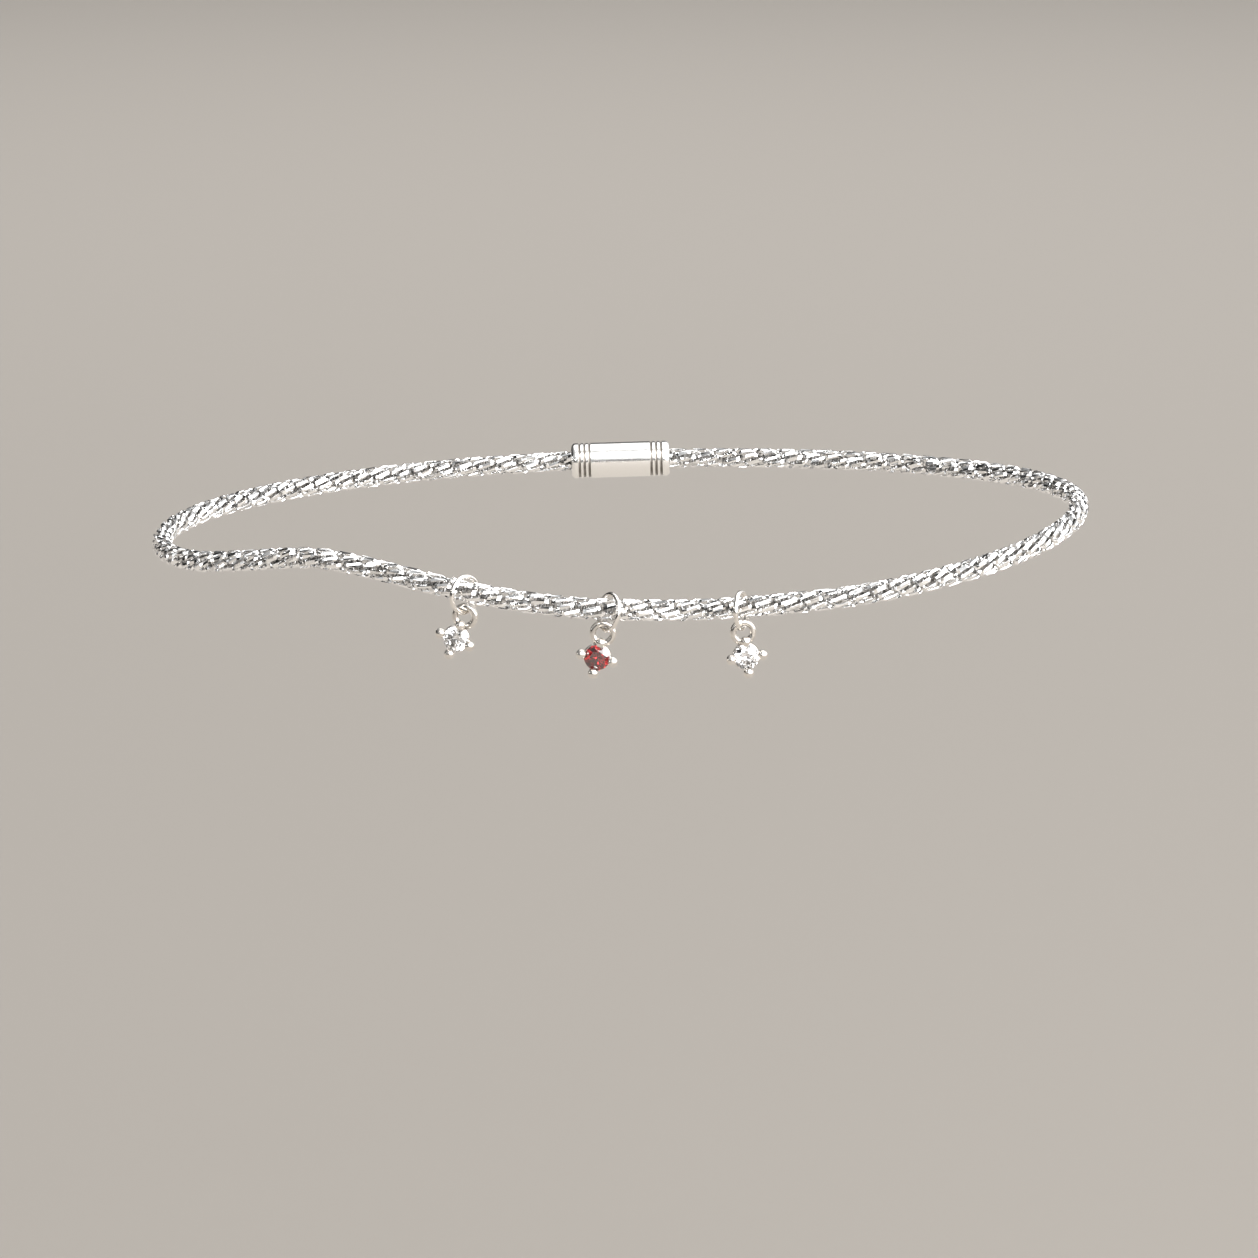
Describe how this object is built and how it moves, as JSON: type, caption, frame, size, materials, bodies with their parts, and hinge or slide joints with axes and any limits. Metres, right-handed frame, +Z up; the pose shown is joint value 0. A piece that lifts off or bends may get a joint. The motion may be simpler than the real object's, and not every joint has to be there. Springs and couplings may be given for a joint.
{
  "type": "charm anklet",
  "caption": "Fine polished silver sparkle chain anklet in its worn loop, with small prong-set clear and dark red stone drops hanging on jump rings at the front.",
  "frame": {"origin": "the middle of the ankle that it is worn on, at the middle of the chain's oval loop seen from above and about level with the chain", "axes": "+X across the front to the wearer's side on the right of the picture, -Y out of the front of the loop where the drops hang, +Z up along the leg"},
  "size_m": [0.0806, 0.062, 0.0101],
  "materials": {
    "silver": "polished silver",
    "clear_stone": "polished, facet-cut",
    "red_stone": "polished, facet-cut"
  },
  "bodies": {
    "root": {"chain": "silver", "clasp": "silver", "jump_ring_left": "silver", "jump_ring_centre": "silver", "jump_ring_right": "silver", "setting_left": "silver", "setting_centre": "silver", "setting_right": "silver", "stone_left": "clear_stone", "stone_centre": "red_stone", "stone_right": "clear_stone"}
  },
  "joints": []
}
